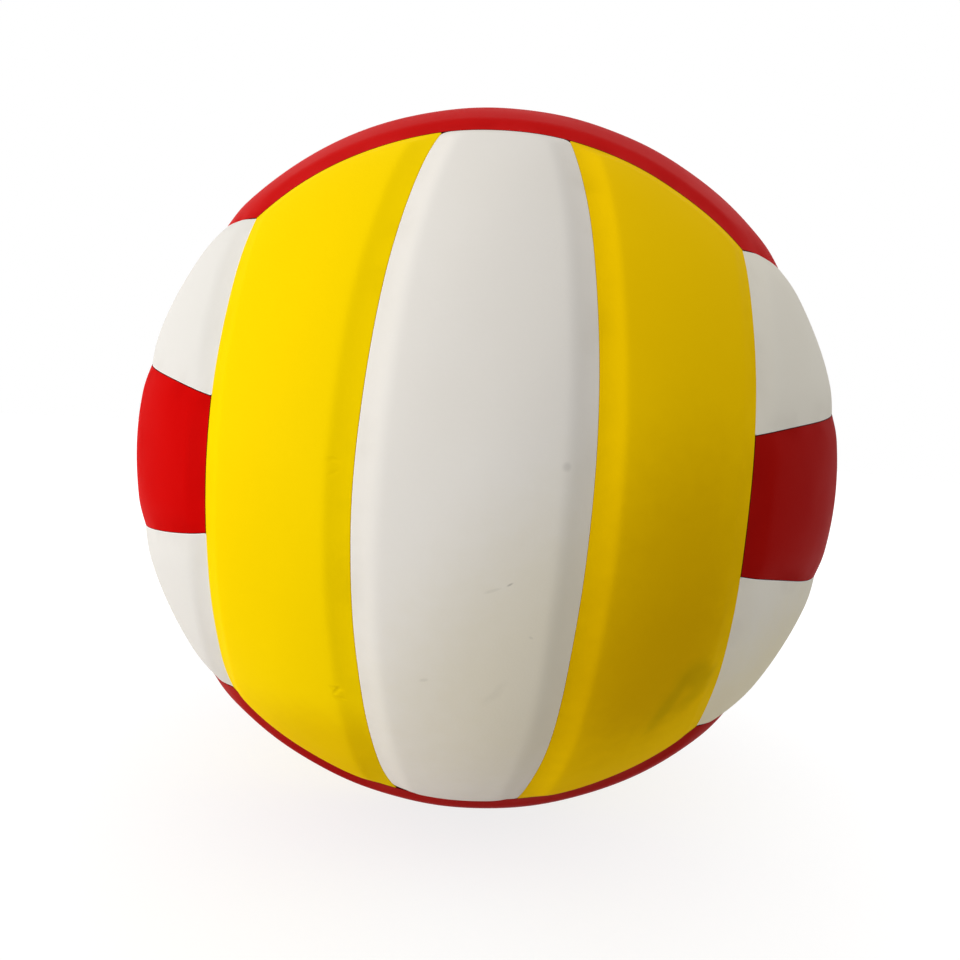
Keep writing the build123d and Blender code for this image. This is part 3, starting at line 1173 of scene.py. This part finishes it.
# Painted shade: a darker, deeper yellow, laid in broad patches on the lower parts of the yellow strips.
YELLOW_PAINTED_SHADE = (0.66, 0.375, 0.0)
SMEARS_AND_PAINTED_SHADE = (
    # The first two marks are painted shade on the lower right yellow strip; the rest are a real smear.
    Mark(24.0, -15.0, 80.0, 0.062, 0.034, 0.2, 0.70, YELLOW_PAINTED_SHADE),
    Mark(25.5, -19.0, 80.0, 0.028, 0.020, 0.3, 0.55, YELLOW_PAINTED_SHADE),
    Mark(30.0, -26.5, 80.0, 0.0130, 0.0028, 0.3, 0.44, SMEAR),
    Mark(32.3, -21.6, -4.2, 0.0074, 0.0058, 0.3, 0.44, SMEAR),
    Mark(31.4, -25.2, 76.0, 0.0160, 0.0080, 0.4, 0.24, SMEAR),
    Mark(34.9, -24.0, 68.5, 0.0085, 0.0042, 0.3, 0.30, SMEAR),
)
# Each wrinkle: azimuth, elevation, heading, half length, half width, how broken and depth.
WRINKLES = (
    Wrinkle(-14.53, 2.74, -1.9, 0.0042, 0.0010, 0.3, 0.00024),
    Wrinkle(-14.44, 1.80, 24.3, 0.0038, 0.0009, 0.3, 0.00020),
    Wrinkle(-16.37, -25.91, -17.8, 0.0026, 0.0009, 0.5, 0.00018),
    Wrinkle(-16.49, -26.11, 50.4, 0.0024, 0.0008, 0.5, 0.00013),
    Wrinkle(-15.97, -27.58, -19.5, 0.0032, 0.0009, 0.5, 0.00016),
)
WIDE_EDGE = 0.0003
SHEEN = 0.02
BRIGHT_SHEEN = 0.035
YELLOW = LeatherFinish(
    Leather.YELLOW,
    colour=(0.95, 0.66, 0.0),
    shade=(0.92, 0.63, 0.0),
    dirt=screen_colour(140, 104, 8),
    cut_edge=screen_colour(178, 130, 12),
    dirt_share=0.08,
    # Painted shade on the lower part of the left yellow strip.
    marks=(Mark(-20.0, -40.0, 0.0, 0.040, 0.025, 0.2, 0.40, YELLOW_PAINTED_SHADE),),
    wrinkles=WRINKLES,
)
WHITE = LeatherFinish(
    Leather.WHITE,
    colour=(0.81, 0.775, 0.72),
    shade=(0.79, 0.75, 0.685),
    dirt=screen_colour(150, 140, 122),
    cut_edge=(0.90, 0.88, 0.84),
    edge_width=WIDE_EDGE,
    dirt_share=0.08,
    marks=SCUFFS_AND_PAINTED_SHADE,
)
RED = LeatherFinish(
    Leather.RED,
    colour=(0.59, 0.0015, 0.001),
    shade=(0.53, 0.001, 0.001),
    dirt=screen_colour(96, 10, 8),
    cut_edge=screen_colour(66, 5, 4),
    edge_width=WIDE_EDGE,
    dirt_share=0.10,
)
# The copies kept for single strips are lighter or darker as painted light and shade.
LEATHERS = (
    YELLOW,
    # Painted shade: a darker, deeper yellow copy for the right yellow strip, which faces away from the lamp.
    replace(
        YELLOW,
        colour=(0.94, 0.595, 0.0),
        shade=(0.91, 0.565, 0.0),
        marks=SMEARS_AND_PAINTED_SHADE,
        wrinkles=(),
        strips=("front_right",),
    ),
    WHITE,
    # Painted shade: a darker copy of the white for the left strips, which face the lamp.
    replace(
        WHITE,
        colour=(0.735, 0.71, 0.665),
        shade=(0.715, 0.69, 0.64),
        marks=(),
        strips=("left_upper", "left_lower"),
    ),
    # Painted light: a lighter, warmer copy of the white for the right strips, which face away from the lamp,
    # with painted shade towards their lower part.
    replace(
        WHITE,
        colour=(0.85, 0.81, 0.71),
        shade=(0.83, 0.78, 0.675),
        marks=(Mark(52.0, -32.0, 60.0, 0.050, 0.040, 0.3, 0.70, RIGHT_WHITE_PAINTED_SHADE),),
        strips=("right_upper", "right_lower"),
    ),
    RED,
    # Painted shade: a darker copy of the red for the right middle and bottom strips, which face away from
    # the lamp, with a little more gloss.
    replace(
        RED,
        colour=(0.375, 0.004, 0.002),
        shade=(0.33, 0.002, 0.002),
        strips=("right_middle", "bottom_front"),
        gloss=SHEEN,
    ),
    # Painted shade: a slightly darker copy of the red for the top strip, with more gloss for its sheen.
    replace(
        RED,
        colour=(0.565, 0.0015, 0.001),
        shade=(0.51, 0.001, 0.001),
        strips=("top_front",),
        gloss=BRIGHT_SHEEN,
    ),
)
CREASE_SOFTNESS = {Leather.YELLOW: 0.0008, Leather.WHITE: 0.0016, Leather.RED: 0.0011}


def main() -> None:
    """Build the ball, dress it and set up the studio."""
    logging.basicConfig(level=logging.INFO, format="%(name)s: %(message)s")
    sizes = BallSizes()
    effects = EffectGroups()
    leathers: dict[str, Material] = {}
    for finish in LEATHERS:
        leathers |= dict.fromkeys(finish.places, finish.make(effects, sizes.radius))
    StripPanels(sizes, Unevenness(), leathers, FoamFinish().make(), CREASE_SOFTNESS).build()
    InnerBall(effects).dress()
    Studio(sizes).build()
    bpy.context.scene.view_settings.view_transform = "Standard"


if __name__ == "__main__":
    main()
